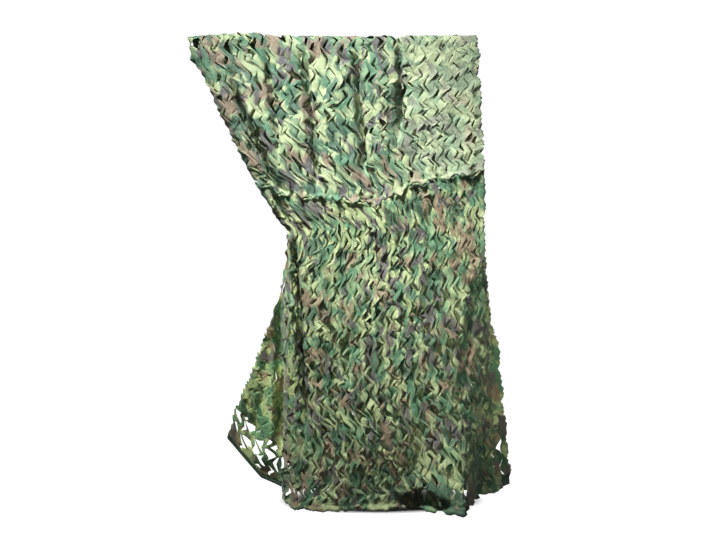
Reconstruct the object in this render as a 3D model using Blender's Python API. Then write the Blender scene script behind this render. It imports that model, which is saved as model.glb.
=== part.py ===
"""Camouflage net of three sewn leaf-cut strips, draped over a rail that is not part of it.

Metres, +Z up, the front towards -Y. The origin is on the crest of the top fold.
A point of the net is named by `across`, 0 at the left edge to 1 at the right edge,
and `run`, the length of cloth from the crest: negative in front, positive behind.
"""
from collections import namedtuple
from math import pi

import bmesh
import bpy
import numpy as np

# ---------------------------------------------------------------- driving dimensions
RAIL_RADIUS = 0.022          # inside bend of the top fold
HEM_DROP = 1.82              # crest to hem
SEAM_DROP = 0.60             # crest to either seam, before its sag
FLAT_WIDTH = 1.30            # width that each strip was cut to
CLOTH = 0.0024               # thickness of the cloth
HEM_THICKNESS = 0.0046       # folded hem
HEM_BAND = 0.018             # height of the folded hem
SEAM_THICKNESS = 0.0085      # gathered selvedges at a seam
SEAM_BAND = 0.016            # height of the gathered selvedges
SEAM_GAP = 0.0006            # between the two strips that a seam joins
COLUMNS = 36                 # cells across a strip
ROW = 0.062                  # height of a cell
BEND_ROWS = 6                # rows around the half turn over the rail
LEAF_TIP = 0.007             # how far a leaf tip stands out of a side edge
SHARP_ANGLE = 0.7            # edges of the cloth shade sharp, its faces smooth

# Cloth lengths from the crest to the end of the bend, to the seams and to the hems.
QUARTER = RAIL_RADIUS * pi / 2.0
SEAM_RUN = SEAM_DROP - RAIL_RADIUS + QUARTER
HEM_RUN = HEM_DROP - RAIL_RADIUS + QUARTER
CREST_CLEAR = QUARTER + 0.03  # no gap is cut nearer to the crest

# Side edges and depth of both layers at each level below the crest.
Level = namedtuple("Level", "drop front_left front_right front_out back_left back_right back_out")
LEVELS = (
    Level(0.00, -0.565, 0.564, 0.022, -0.562, 0.564, 0.022),
    Level(0.08, -0.545, 0.570, 0.028, -0.540, 0.568, 0.026),
    Level(0.14, -0.512, 0.573, 0.033, -0.505, 0.571, 0.028),
    Level(0.33, -0.427, 0.576, 0.048, -0.418, 0.573, 0.036),
    Level(0.52, -0.330, 0.583, 0.062, -0.320, 0.583, 0.045),
    Level(0.65, -0.252, 0.584, 0.074, -0.240, 0.588, 0.053),
    Level(0.75, -0.176, 0.582, 0.083, -0.180, 0.592, 0.059),
    Level(0.87, -0.174, 0.584, 0.093, -0.190, 0.604, 0.070),
    Level(1.09, -0.185, 0.598, 0.110, -0.250, 0.632, 0.104),
    Level(1.29, -0.189, 0.612, 0.126, -0.320, 0.670, 0.138),
    Level(1.50, -0.190, 0.632, 0.143, -0.415, 0.698, 0.178),
    Level(1.60, -0.190, 0.642, 0.151, -0.442, 0.708, 0.198),
    Level(1.82, -0.205, 0.690, 0.170, -0.442, 0.728, 0.250),
)

# Valleys of the cloth: from `start` to `end` below the crest, `bow` to the right at
# half height. A negative depth is a ridge.
Fold = namedtuple("Fold", "name start x_start end x_end bow width depth")
FRONT_FOLDS = (
    Fold("edge_groove", 0.10, -0.452, 0.77, -0.160, 0.010, 0.020, 0.056),
    Fold("first_valley", 0.04, -0.268, 0.46, -0.210, 0.000, 0.016, 0.024),
    Fold("second_valley", 0.04, -0.120, 0.62, -0.050, 0.000, 0.024, 0.034),
    Fold("third_valley", 0.04, 0.086, 0.58, 0.128, 0.000, 0.024, 0.030),
    Fold("fourth_valley", 0.01, 0.256, 0.36, 0.270, 0.000, 0.018, 0.022),
    Fold("faint_valley", 0.20, 0.225, 0.50, 0.265, 0.000, 0.022, 0.012),
    Fold("left_ridge", 0.10, -0.350, 0.70, -0.140, 0.010, 0.034, -0.014),
    Fold("middle_ridge", 0.06, -0.015, 0.60, 0.040, 0.000, 0.045, -0.014),
    Fold("right_ridge", 0.06, 0.180, 0.55, 0.195, 0.000, 0.040, -0.012),
    Fold("low_left_valley", 0.64, 0.074, 0.98, 0.085, 0.000, 0.018, 0.011),
    Fold("low_right_valley", 0.64, 0.264, 0.98, 0.271, 0.000, 0.018, 0.011),
    Fold("pleat_groove", 0.77, -0.150, 1.62, -0.102, 0.008, 0.019, 0.066),
    Fold("pleat_ridge", 0.80, -0.168, 1.78, -0.145, 0.000, 0.022, -0.012),
    Fold("panel_ridge", 0.90, -0.060, 1.80, -0.040, 0.000, 0.040, -0.014),
    Fold("belly", 0.90, 0.190, 1.80, 0.210, 0.000, 0.160, -0.016),
    Fold("side_valley", 0.90, 0.572, 1.74, 0.530, -0.052, 0.024, 0.034),
)
BACK_FOLDS = (
    Fold("edge_ridge", 0.10, -0.440, 0.77, -0.150, 0.010, 0.030, -0.016),
    Fold("first_valley", 0.06, -0.200, 0.72, -0.110, 0.000, 0.026, 0.016),
    Fold("second_valley", 0.06, 0.040, 0.66, 0.075, 0.000, 0.030, 0.020),
    Fold("third_valley", 0.06, 0.290, 0.60, 0.320, 0.000, 0.026, 0.018),
    Fold("corner_valley", 0.84, -0.180, 1.76, -0.290, 0.012, 0.022, 0.030),
    Fold("corner_ridge", 0.90, -0.200, 1.70, -0.360, 0.010, 0.024, -0.016),
    Fold("pillar_pleat", 0.92, -0.200, 1.68, -0.208, 0.000, 0.015, -0.055),
    Fold("left_valley", 0.80, -0.110, 1.80, -0.120, 0.000, 0.034, 0.040),
    Fold("middle_valley", 0.70, 0.110, 1.80, 0.090, 0.010, 0.036, 0.040),
    Fold("middle_ridge", 0.70, 0.230, 1.80, 0.220, 0.000, 0.050, -0.026),
    Fold("right_valley", 0.68, 0.380, 1.80, 0.390, 0.000, 0.034, 0.036),
    Fold("side_valley", 0.90, 0.560, 1.76, 0.610, 0.000, 0.026, 0.022),
)
FOLD_FADE = 0.12             # length over which a fold starts and ends

# Where the front hem stands on the plan, measured towards the back.
HemPoint = namedtuple("HemPoint", "x back")
FRONT_HEM = (
    HemPoint(-0.205, 0.060),
    HemPoint(-0.185, -0.060),
    HemPoint(-0.148, -0.138),
    HemPoint(-0.085, -0.170),
    HemPoint(0.045, -0.172),
    HemPoint(0.080, -0.142),
    HemPoint(0.160, -0.129),
    HemPoint(0.320, -0.104),
    HemPoint(0.360, -0.165),
    HemPoint(0.430, -0.225),
    HemPoint(0.488, -0.240),
    HemPoint(0.530, -0.086),
    HemPoint(0.573, 0.080),
    HemPoint(0.690, 0.150),
)
HEM_SWAY_START = 1.46        # level where the front starts to swing to its hem line
EDGE_CURL_WIDTH = 0.034      # left front edge turns back over this width
EDGE_CURL = (                # by this much at each level
    (0.00, 0.000), (0.10, 0.020), (0.48, 0.022), (0.56, 0.008), (0.70, 0.026),
    (0.90, 0.070), (1.40, 0.120), (1.82, 0.000),
)
SIDE_TURN = ((0.85, 0.00), (1.10, 0.07), (1.50, 0.19), (1.82, 0.30))   # right front turns back

# Where the two seams run, from the left edge to the right.
SeamPoint = namedtuple("SeamPoint", "x drop")
FRONT_SEAM = (
    SeamPoint(-0.330, 0.538),
    SeamPoint(-0.277, 0.562),
    SeamPoint(-0.226, 0.590),
    SeamPoint(-0.180, 0.617),
    SeamPoint(0.105, 0.642),
    SeamPoint(0.151, 0.658),
    SeamPoint(0.241, 0.617),
    SeamPoint(0.303, 0.578),
    SeamPoint(0.416, 0.554),
    SeamPoint(0.585, 0.523),
)
BACK_SEAM = (
    SeamPoint(-0.320, 0.545),
    SeamPoint(-0.160, 0.610),
    SeamPoint(0.120, 0.640),
    SeamPoint(0.400, 0.590),
    SeamPoint(0.585, 0.540),
)
SEAM_HOLD = 0.80             # share of a fold's depth that a seam takes away
SEAM_REACH = 0.045           # and how far from the seam it does so

# Lift of the two hems above HEM_DROP, by the share across from the left edge.
FRONT_HEM_LIFT = ((0.00, 0.040), (0.08, 0.010), (0.62, 0.000), (0.70, 0.012), (0.78, 0.004), (1.00, 0.030))
BACK_HEM_LIFT = ((0.00, 0.227), (0.117, 0.052), (0.20, 0.006), (0.94, 0.000), (1.00, 0.030))

# Height of the wavy crest, by the share across, and the level where its waves have died out.
CREST_RISE = ((0.00, -0.001), (0.14, 0.012), (0.24, 0.014), (0.30, 0.004), (0.52, 0.000), (1.00, 0.005))
CREST_REACH = 0.30
LIFT_START = 1.10            # level where a lifted hem starts to draw the cloth up

# Chevron gap of the cut pattern, in cell coordinates: a cell is 2 wide and 2 high.
GAP_REACH = 0.30             # the chevron's ends and its point stand this far off the middle
GAP_HALF_HEIGHT = 0.74
GAP_HALF_WIDTH = 0.26

LATTICE_ROWS = 5             # rows of cells above the hem that hang open at the back corners
LEFT_LATTICE = 8             # columns of them from the left edge
RIGHT_LATTICE = 5            # and from the right edge

# How finely the drape is worked out: plan lines, points on each, and shares across.
LEVEL_LINES = 365
PLAN_POINTS = 240
SHARES = 301
ACROSS_STEP = 0.9 / COLUMNS  # share across that a normal is taken over
RUN_STEP = 0.008             # cloth length that a normal is taken over
ON_SEAM = 0.0001             # a row this near to a seam's line is its edge

NET_GREEN = (0.16, 0.23, 0.11, 1.0)
NET_OLIVE = (0.20, 0.24, 0.12, 1.0)
NET_SHADE = (0.12, 0.19, 0.10, 1.0)


# ---------------------------------------------------------------- the draped surface
def smooth(start, end, value):
    """0 before start, 1 after end, with a soft turn between."""
    share = np.clip((value - start) / (end - start), 0.0, 1.0)
    return share * share * (3.0 - 2.0 * share)


def from_pairs(pairs, value):
    """Straight-line reading of a table of (place, amount) pairs."""
    places, amounts = zip(*pairs)
    return np.interp(value, places, amounts)


def from_levels(column, drop):
    """Straight-line reading of one column of LEVELS."""
    return np.interp(drop, [level.drop for level in LEVELS], [getattr(level, column) for level in LEVELS])


def seam_drop(seam, x):
    """Level of a seam at points x."""
    return np.interp(x, [point.x for point in seam], [point.drop for point in seam])


def fold_depth(folds, seam, x, drop):
    """Depth of all the folds of a layer at points x of the level drop."""
    depth = np.zeros_like(x)
    for fold in folds:
        fade = smooth(fold.start, fold.start + FOLD_FADE, drop)
        fade = fade * (1.0 - smooth(fold.end - FOLD_FADE, fold.end, drop))
        share = np.clip((drop - fold.start) / (fold.end - fold.start), 0.0, 1.0)
        middle = fold.x_start + (fold.x_end - fold.x_start) * share + fold.bow * np.sin(pi * share)
        depth += fold.depth * fade * np.exp(-(((x - middle) / fold.width) ** 2))
    held = SEAM_HOLD * np.exp(-(((drop - seam_drop(seam, x)) / SEAM_REACH) ** 2))
    return depth * (1.0 - held)


def rumple(x, drop):
    """Small unevenness of limp cloth, none at the crest."""
    waves = np.sin(21.0 * x + 5.0 * drop) * np.sin(17.0 * drop - 6.0 * x)
    waves = waves + 0.6 * np.sin(47.0 * x - 13.0 * drop) * np.cos(31.0 * drop + 9.0 * x)
    return 0.0045 * waves * smooth(0.03, 0.25, drop)


def front_line(drop):
    """Plan of the front layer at a level: x and y from its left edge to its right edge."""
    left = from_levels("front_left", drop)
    right = from_levels("front_right", drop)
    x = np.linspace(left, right, PLAN_POINTS)
    y = -from_levels("front_out", drop) + fold_depth(FRONT_FOLDS, FRONT_SEAM, x, drop) + rumple(x, drop)
    from_edge = np.clip((x - left) / EDGE_CURL_WIDTH, 0.0, 1.0)
    y += from_pairs(EDGE_CURL, drop) * (1.0 - from_edge) ** 2
    side = FRONT_FOLDS[-1]
    share = np.clip((drop - side.start) / (side.end - side.start), 0.0, 1.0)
    valley = side.x_start + (side.x_end - side.x_start) * share + side.bow * np.sin(pi * share)
    past_valley = np.clip((x - valley) / max(right - valley, 0.02), 0.0, 1.0)
    y += from_pairs(SIDE_TURN, drop) * past_valley ** 0.8
    sway = smooth(HEM_SWAY_START, HEM_DROP, drop)
    return x, y * (1.0 - sway) + from_pairs(FRONT_HEM, x) * sway


def back_line(drop):
    """Plan of the back layer at a level: x and y from its left edge to its right edge."""
    left = from_levels("back_left", drop)
    right = from_levels("back_right", drop)
    x = np.linspace(left, right, PLAN_POINTS)
    y = from_levels("back_out", drop) - fold_depth(BACK_FOLDS, BACK_SEAM, x, drop)
    return x, y + rumple(x + 0.37, drop)


class Layer:
    """One layer of the drape, read by the share of cloth across it and the level."""

    def __init__(self, line):
        self.shares = np.linspace(0.0, 1.0, SHARES)
        self.x = np.empty((LEVEL_LINES, SHARES))
        self.y = np.empty((LEVEL_LINES, SHARES))
        for row, drop in enumerate(np.linspace(0.0, HEM_DROP, LEVEL_LINES)):
            x, y = line(drop)
            cloth = np.concatenate(([0.0], np.cumsum(np.hypot(np.diff(x), np.diff(y)))))
            self.x[row] = np.interp(self.shares, cloth / cloth[-1], x)
            self.y[row] = np.interp(self.shares, cloth / cloth[-1], y)

    def read(self, across, drop):
        """x and y at a share across the cloth and a level."""
        row = min(max(drop / HEM_DROP, 0.0), 1.0) * (LEVEL_LINES - 1)
        low = min(int(row), LEVEL_LINES - 2)
        part = row - low
        x = [np.interp(across, self.shares, self.x[low + step]) for step in (0, 1)]
        y = [np.interp(across, self.shares, self.y[low + step]) for step in (0, 1)]
        return x[0] + (x[1] - x[0]) * part, y[0] + (y[1] - y[0]) * part


FRONT = Layer(front_line)
BACK = Layer(back_line)


def level_of(across, run):
    """Level below the crest of a point of the net, with the seam's sag and the hem's lift."""
    behind = run > 0.0
    length = abs(run)
    if length < QUARTER:
        return RAIL_RADIUS * (1.0 - np.cos(length / RAIL_RADIUS))
    drop = RAIL_RADIUS + length - QUARTER
    seam_x = (BACK if behind else FRONT).read(across, SEAM_DROP)[0]
    sag = seam_drop(BACK_SEAM if behind else FRONT_SEAM, seam_x) - SEAM_DROP
    share = min((drop - RAIL_RADIUS) / (SEAM_DROP - RAIL_RADIUS), (HEM_DROP - drop) / (HEM_DROP - SEAM_DROP))
    lift = from_pairs(BACK_HEM_LIFT if behind else FRONT_HEM_LIFT, across)
    return drop + sag * max(share, 0.0) - lift * smooth(LIFT_START, HEM_DROP, drop)


def drape(across, run):
    """Place in space of a point of the net."""
    drop = level_of(across, run)
    x, y = (BACK if run > 0.0 else FRONT).read(across, drop)
    if abs(run) < QUARTER:
        y = RAIL_RADIUS * np.sin(run / RAIL_RADIUS)
    rise = from_pairs(CREST_RISE, across) * (1.0 - smooth(0.0, CREST_REACH, drop))
    return np.array((x, y, rise - drop))


def tangents(across, run):
    """The way across the cloth, and the way along it for each metre of run."""
    aside = drape(min(across + ACROSS_STEP, 1.0), run) - drape(max(across - ACROSS_STEP, 0.0), run)
    along = drape(across, run + RUN_STEP) - drape(across, run - RUN_STEP)
    return aside, along / (2.0 * RUN_STEP)


def outward(across, run):
    """Unit normal of the drape, away from the rail."""
    aside, along = tangents(across, run)
    normal = np.cross(along, aside)
    return normal / np.linalg.norm(normal)


def seam_step(across, run):
    """Cloth length from the seam's own line to a strip's edge, half of SEAM_GAP off it."""
    aside, along = tangents(across, run)
    clearance = np.linalg.norm(np.cross(along, aside)) / np.linalg.norm(aside)
    return SEAM_GAP / 2.0 / clearance


# ---------------------------------------------------------------- a strip of net
def rows_between(first, last):
    """Cloth lengths of the rows of cells from first to last, each about ROW high."""
    count = max(1, round((last - first) / ROW))
    return list(np.linspace(first, last, count + 1))


def cut_gap(face, cell_width, cell_height, points_right):
    """Turn the inner face of an inset cell into a chevron gap that points to one side."""
    middle = face.calc_center_median()
    side = 1 if points_right else -1
    corners = {
        (-side, 1): (-side * GAP_REACH, GAP_HALF_HEIGHT),
        (side, 1): (side * (GAP_REACH + GAP_HALF_WIDTH), 0.0),
        (side, -1): (-side * GAP_REACH, -GAP_HALF_HEIGHT),
        (-side, -1): (side * (GAP_REACH - GAP_HALF_WIDTH), 0.0),
    }
    for vert in face.verts:
        key = (1 if vert.co.x > middle.x else -1, 1 if vert.co.y > middle.y else -1)
        vert.co.x = middle.x + cell_width / 2.0 * corners[key][0]
        vert.co.y = middle.y + cell_height / 2.0 * corners[key][1]


def net_strip(name, runs, is_gap, thickness, colour):
    """A strip of net over the rows `runs`, cut where is_gap says so, as one closed solid."""
    mesh = bmesh.new()
    last_row = len(runs) - 1
    middle_run = (runs[0] + runs[-1]) / 2.0
    bmesh.ops.create_grid(mesh, x_segments=COLUMNS, y_segments=last_row, size=1.0)
    cell_width = FLAT_WIDTH / COLUMNS
    for vert in mesh.verts:
        column = round((vert.co.x + 1.0) / 2.0 * COLUMNS)
        row = round((vert.co.y + 1.0) / 2.0 * last_row)
        between_tips = column in (0, COLUMNS) and row % 2 and 0 < row < last_row
        tucked_in = LEAF_TIP if between_tips else 0.0
        vert.co.x = column * cell_width + (tucked_in if column == 0 else -tucked_in)
        vert.co.y = runs[row]
    gap_cells = []
    for face in mesh.faces:
        centre = face.calc_center_median()
        column = int(centre.x / cell_width)
        row = int(np.searchsorted(runs, centre.y)) - 1
        if 0 < column < COLUMNS - 1 and is_gap(column, row):
            gap_cells.append((face, runs[row + 1] - runs[row], column % 4 < 2))
    gap_faces = [cell[0] for cell in gap_cells]
    bmesh.ops.inset_individual(mesh, faces=gap_faces, thickness=0.1 * cell_width)
    for face, cell_height, points_right in gap_cells:
        cut_gap(face, cell_width, cell_height, points_right)
    bmesh.ops.delete(mesh, geom=gap_faces, context="FACES_ONLY")
    for vert in mesh.verts:
        vert.co.z = 0.0
    raised = bmesh.ops.extrude_face_region(mesh, geom=mesh.faces[:])["geom"]
    for item in raised:
        if isinstance(item, bmesh.types.BMVert):
            item.co.z = 1.0
    for vert in mesh.verts:
        across = vert.co.x / FLAT_WIDTH
        run = vert.co.y
        offset = (vert.co.z - 0.5) * thickness(across, run)
        edge_run = run
        if abs(abs(run) - SEAM_RUN) < ON_SEAM:
            edge_run += np.sign(middle_run - run) * seam_step(across, run)
        vert.co = drape(across, edge_run) + outward(across, run) * offset
    bmesh.ops.recalc_face_normals(mesh, faces=mesh.faces[:])
    data = bpy.data.meshes.new(name)
    mesh.to_mesh(data)
    mesh.free()
    strip = bpy.data.objects.new(name, data)
    bpy.context.scene.collection.objects.link(strip)
    material = bpy.data.materials.new(name + "_print")
    material.use_nodes = True
    shader = material.node_tree.nodes["Principled BSDF"]
    shader.inputs["Base Color"].default_value = colour
    shader.inputs["Roughness"].default_value = 0.85
    shader.inputs["Metallic"].default_value = 0.0
    data.materials.append(material)
    data.shade_smooth()
    data.set_sharp_from_angle(angle=SHARP_ANGLE)
    return strip


def seam_thickness(across, run):
    """Cloth that grows into the lumpy gathered selvedges at its two seams."""
    near = 1.0 - min((SEAM_RUN - abs(run)) / SEAM_BAND, 1.0)
    lumps = 1.0 + 0.28 * np.sin(57.0 * across) + 0.18 * np.sin(131.0 * across + 1.0)
    return CLOTH + (SEAM_THICKNESS * lumps - CLOTH) * near


def hem_thickness(across, run):
    """Cloth that is folded double at its hem."""
    near = 1.0 - min((HEM_RUN - abs(run)) / HEM_BAND, 1.0)
    return CLOTH + (HEM_THICKNESS - CLOTH) * near


# ---------------------------------------------------------------- the three strips
def spaced_gap(column, row):
    """Chevrons at twice the pitch of the cut pattern, which is one to a cell."""
    return column % 2 == 1 and (row + column // 2) % 2 == 0


def front_lower_gap(column, row):
    """The whole front below its seam, clear of the hem and the seam."""
    return 0 < row < len(front_lower_runs) - 2 and spaced_gap(column, row)


def top_gap(column, row):
    """The front of the top strip, clear of the seam and the crest."""
    return 0 < row and top_runs[row + 1] < -CREST_CLEAR and spaced_gap(column, row)


def back_lower_gap(column, row):
    """The open lattice of the two lower back corners, at the pitch of the cut pattern."""
    rows_up = len(back_lower_runs) - 2 - row
    in_corner = column < LEFT_LATTICE or column >= COLUMNS - RIGHT_LATTICE
    return in_corner and 0 < rows_up <= LATTICE_ROWS


for old in list(bpy.data.objects):
    bpy.data.objects.remove(old, do_unlink=True)

front_lower_runs = [-HEM_RUN] + rows_between(-HEM_RUN + HEM_BAND, -SEAM_RUN)
back_lower_runs = [-run for run in reversed(front_lower_runs)]
front_fall = [-SEAM_RUN] + rows_between(-SEAM_RUN + SEAM_BAND, -QUARTER)
bend = list(np.linspace(-QUARTER, QUARTER, BEND_ROWS + 1))[1:-1]
top_runs = front_fall + bend + [-run for run in reversed(front_fall)]

net_strip("front_lower_strip", front_lower_runs, front_lower_gap, hem_thickness, NET_GREEN)
net_strip("top_strip", top_runs, top_gap, seam_thickness, NET_OLIVE)
net_strip("back_lower_strip", back_lower_runs, back_lower_gap, hem_thickness, NET_SHADE)
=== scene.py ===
from collections import namedtuple
from math import pi

import bmesh
import bpy
import numpy as np
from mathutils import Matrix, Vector


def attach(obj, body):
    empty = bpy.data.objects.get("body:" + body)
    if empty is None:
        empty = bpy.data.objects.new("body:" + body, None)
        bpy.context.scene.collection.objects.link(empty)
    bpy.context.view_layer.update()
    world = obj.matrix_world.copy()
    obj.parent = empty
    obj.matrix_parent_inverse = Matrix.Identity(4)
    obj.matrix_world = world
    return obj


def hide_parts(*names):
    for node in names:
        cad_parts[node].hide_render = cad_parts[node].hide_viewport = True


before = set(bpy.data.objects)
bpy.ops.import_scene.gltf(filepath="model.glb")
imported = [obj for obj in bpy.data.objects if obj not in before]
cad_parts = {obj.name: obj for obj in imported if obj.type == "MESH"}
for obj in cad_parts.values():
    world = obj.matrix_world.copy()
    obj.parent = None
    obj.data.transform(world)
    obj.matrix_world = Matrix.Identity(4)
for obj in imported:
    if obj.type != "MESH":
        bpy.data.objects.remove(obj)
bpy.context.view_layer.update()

# ------------------------------------------------------------------ front lower strip
# The lowest front strip of the net: printed polyester cloth, leaf-cut in rows of chevron slits
# that hang open, with a curled selvedge at its foot that shows plain for a short length. It hangs
# from the front seam in the folds of the whole net, so the shape of the drape is set out here.

# The rail's radius, how far down the hem and the seam are, and both as lengths along the cloth,
# which bends over the rail for the length QUARTER to each side of the crest.
RAIL_RADIUS = 0.022
HEM_DROP = 1.82
SEAM_DROP = 0.60
QUARTER = RAIL_RADIUS * pi / 2.0
SEAM_RUN = SEAM_DROP - RAIL_RADIUS + QUARTER
HEM_RUN = HEM_DROP - RAIL_RADIUS + QUARTER

# Side edges and depth of both layers at each level below the crest of the top fold.
Level = namedtuple("Level", "drop front_left front_right front_out back_left back_right back_out")
LEVELS = (
    Level(0.00, -0.565, 0.564, 0.022, -0.562, 0.564, 0.022),
    Level(0.08, -0.545, 0.570, 0.028, -0.540, 0.568, 0.029),
    Level(0.14, -0.512, 0.573, 0.033, -0.505, 0.571, 0.036),
    Level(0.33, -0.427, 0.576, 0.048, -0.418, 0.573, 0.044),
    Level(0.52, -0.330, 0.583, 0.062, -0.320, 0.583, 0.050),
    Level(0.65, -0.252, 0.584, 0.074, -0.240, 0.588, 0.053),
    Level(0.75, -0.176, 0.582, 0.083, -0.180, 0.592, 0.059),
    Level(0.87, -0.174, 0.584, 0.093, -0.190, 0.604, 0.070),
    Level(1.09, -0.185, 0.598, 0.110, -0.250, 0.632, 0.104),
    Level(1.29, -0.189, 0.612, 0.126, -0.320, 0.670, 0.138),
    Level(1.50, -0.190, 0.632, 0.143, -0.415, 0.698, 0.178),
    Level(1.60, -0.190, 0.642, 0.151, -0.442, 0.708, 0.198),
    Level(1.82, -0.205, 0.690, 0.170, -0.442, 0.728, 0.250),
)

# Valleys of the cloth from `start` to `end` below the crest; a negative depth is a ridge. A fold
# deeper than SLOT_DEPTH is a steep slot, and it leans to the side by a share of its depth.
Fold = namedtuple("Fold", "name start x_start end x_end bow width depth lean", defaults=(0.0,))
FRONT_FOLDS = (
    Fold("edge_groove", 0.15, -0.409, 0.77, -0.160, 0.006, 0.015, 0.090, -0.12),
    Fold("first_valley", 0.04, -0.268, 0.50, -0.205, 0.000, 0.010, 0.060, 0.15),
    Fold("second_valley", 0.04, -0.126, 0.62, -0.056, 0.000, 0.015, 0.073, 0.25),
    Fold("third_valley", 0.04, 0.080, 0.58, 0.122, 0.000, 0.013, 0.068, 0.25),
    Fold("fourth_valley", 0.00, 0.250, 0.42, 0.264, 0.000, 0.012, 0.057, 0.25),
    Fold("faint_valley", 0.20, 0.225, 0.50, 0.265, 0.000, 0.018, 0.016),
    Fold("edge_lip", 0.26, -0.408, 0.76, -0.190, 0.010, 0.022, -0.022),
    Fold("edge_brow", 0.18, -0.370, 0.72, -0.146, 0.010, 0.015, -0.034),
    Fold("left_ridge", 0.10, -0.350, 0.70, -0.140, 0.010, 0.034, -0.014),
    Fold("middle_ridge", 0.06, -0.015, 0.60, 0.040, 0.000, 0.045, -0.014),
    Fold("right_ridge", 0.06, 0.180, 0.55, 0.195, 0.000, 0.040, -0.012),
    Fold("low_left_valley", 0.64, 0.074, 0.98, 0.085, 0.000, 0.018, 0.011),
    Fold("low_right_valley", 0.64, 0.264, 0.98, 0.271, 0.000, 0.018, 0.011),
    Fold("pleat_groove", 0.77, -0.158, 1.56, -0.104, 0.004, 0.014, 0.125, 0.06),
    Fold("pleat_ridge", 0.80, -0.168, 1.78, -0.145, 0.000, 0.022, -0.012),
    Fold("panel_ridge", 0.90, -0.060, 1.80, -0.040, 0.000, 0.040, -0.014),
    Fold("belly", 0.90, 0.190, 1.80, 0.210, 0.000, 0.160, -0.016),
    Fold("side_valley", 0.90, 0.572, 1.74, 0.530, -0.052, 0.024, 0.034),
)
BACK_FOLDS = (
    Fold("edge_ridge", 0.10, -0.440, 0.77, -0.150, 0.010, 0.030, -0.018),
    Fold("first_valley", 0.06, -0.200, 0.72, -0.110, 0.000, 0.026, 0.016),
    Fold("second_valley", 0.06, 0.040, 0.66, 0.075, 0.000, 0.030, 0.020),
    Fold("third_valley", 0.06, 0.290, 0.60, 0.320, 0.000, 0.026, 0.018),
    Fold("corner_valley", 0.84, -0.180, 1.76, -0.290, 0.012, 0.022, 0.030),
    Fold("corner_ridge", 0.90, -0.200, 1.70, -0.360, 0.010, 0.024, -0.016),
    Fold("pillar_pleat", 0.86, -0.216, 1.68, -0.228, 0.000, 0.019, -0.088, -0.03),
    Fold("left_valley", 0.80, -0.110, 1.80, -0.120, 0.000, 0.034, 0.040),
    Fold("middle_valley", 0.70, 0.110, 1.80, 0.090, 0.010, 0.036, 0.040),
    Fold("middle_ridge", 0.70, 0.230, 1.80, 0.220, 0.000, 0.050, -0.026),
    Fold("right_valley", 0.68, 0.380, 1.80, 0.390, 0.000, 0.034, 0.036),
    Fold("side_valley", 0.90, 0.560, 1.76, 0.610, 0.000, 0.026, 0.022),
)
FOLD_FADE = 0.15
SLOT_DEPTH = 0.05
FOLD_TAKE_UP = 0.35
RUMPLE_HEIGHT = 0.0045

# Where the front hem stands on the plan, and how the front's two edges turn back. The turn of the
# right edge takes up at least SIDE_TURN_LEAST past its valley.
FRONT_HEM = (
    (-0.205, 0.060), (-0.185, -0.060), (-0.148, -0.138), (-0.085, -0.170), (0.045, -0.172),
    (0.080, -0.142), (0.160, -0.129), (0.320, -0.104), (0.360, -0.165), (0.430, -0.225),
    (0.488, -0.240), (0.530, -0.086), (0.573, 0.080), (0.690, 0.150),
)
HEM_SWAY_START = 1.46
EDGE_CURL_WIDTH = 0.034
EDGE_CURL = (
    (0.00, 0.000), (0.10, 0.020), (0.48, 0.022), (0.56, 0.008), (0.70, 0.026),
    (0.90, 0.070), (1.40, 0.120), (1.82, 0.000),
)
SIDE_TURN = ((0.85, 0.00), (1.10, 0.07), (1.50, 0.19), (1.82, 0.30))
SIDE_TURN_POWER = 0.8
SIDE_TURN_LEAST = 0.02

# The lines of the two seams, which hold most of the folds shut, the lift of the two hems and the
# wavy crest.
FRONT_SEAM = (
    (-0.330, 0.538), (-0.277, 0.562), (-0.226, 0.590), (-0.180, 0.617), (0.105, 0.642),
    (0.151, 0.658), (0.241, 0.617), (0.303, 0.578), (0.416, 0.554), (0.585, 0.523),
)
BACK_SEAM = ((-0.320, 0.545), (-0.160, 0.610), (0.120, 0.640), (0.400, 0.590), (0.585, 0.540))
SEAM_HOLD = 0.80
SEAM_REACH = 0.045
FRONT_HEM_LIFT = (
    (0.00, 0.040), (0.08, 0.010), (0.62, 0.000), (0.70, 0.012), (0.78, 0.004), (1.00, 0.030),
)
BACK_HEM_LIFT = ((0.00, 0.227), (0.117, 0.056), (0.20, 0.010), (0.94, 0.000), (1.00, 0.030))
LIFT_START = 1.10
CREST_RISE = (
    (0.00, 0.008), (0.14, 0.021), (0.24, 0.023), (0.30, 0.013), (0.52, 0.010), (1.00, 0.014),
)
CREST_REACH = 0.30

# Just above its foot the front is tucked in under a lip with a wavy brow, which leaves a dark
# hollow. Each pair is where a change along the foot or down the cloth starts and ends.
TUCK_LEFT_END = (0.240, 0.300)
TUCK_RIGHT_END = (0.410, 0.445)
LIP_TOP = (1.66, 1.74)
LIP_FOOT = (1.74, 1.755)
TUCK_TOP = (1.745, 1.762)
TUCK_FOOT = (1.785, 1.815)
TUCK_DEPTH = 0.075
TUCK_RELEASE = 0.65
LIP_HEIGHT = 0.020
BROW_HEIGHT = 0.014
BROW_PITCH = 41.0

# How finely a layer's plan is worked out: points on a line, levels, and shares of the cloth.
LINE_POINTS = 240
LEVEL_COUNT = 364
SHARE_COUNT = 300


def smooth(start, end, value):
    """0 before start, 1 after end, with a soft turn between; end may lie before start."""
    share = np.clip((value - start) / (end - start), 0.0, 1.0)
    return share * share * (3.0 - 2.0 * share)


def from_pairs(pairs, value):
    """Straight-line reading of a table of (place, amount) pairs."""
    places, amounts = zip(*pairs)
    return np.interp(value, places, amounts)


def from_levels(column, drop):
    """Straight-line reading of one column of LEVELS."""
    drops = [level.drop for level in LEVELS]
    return np.interp(drop, drops, [getattr(level, column) for level in LEVELS])


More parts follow.
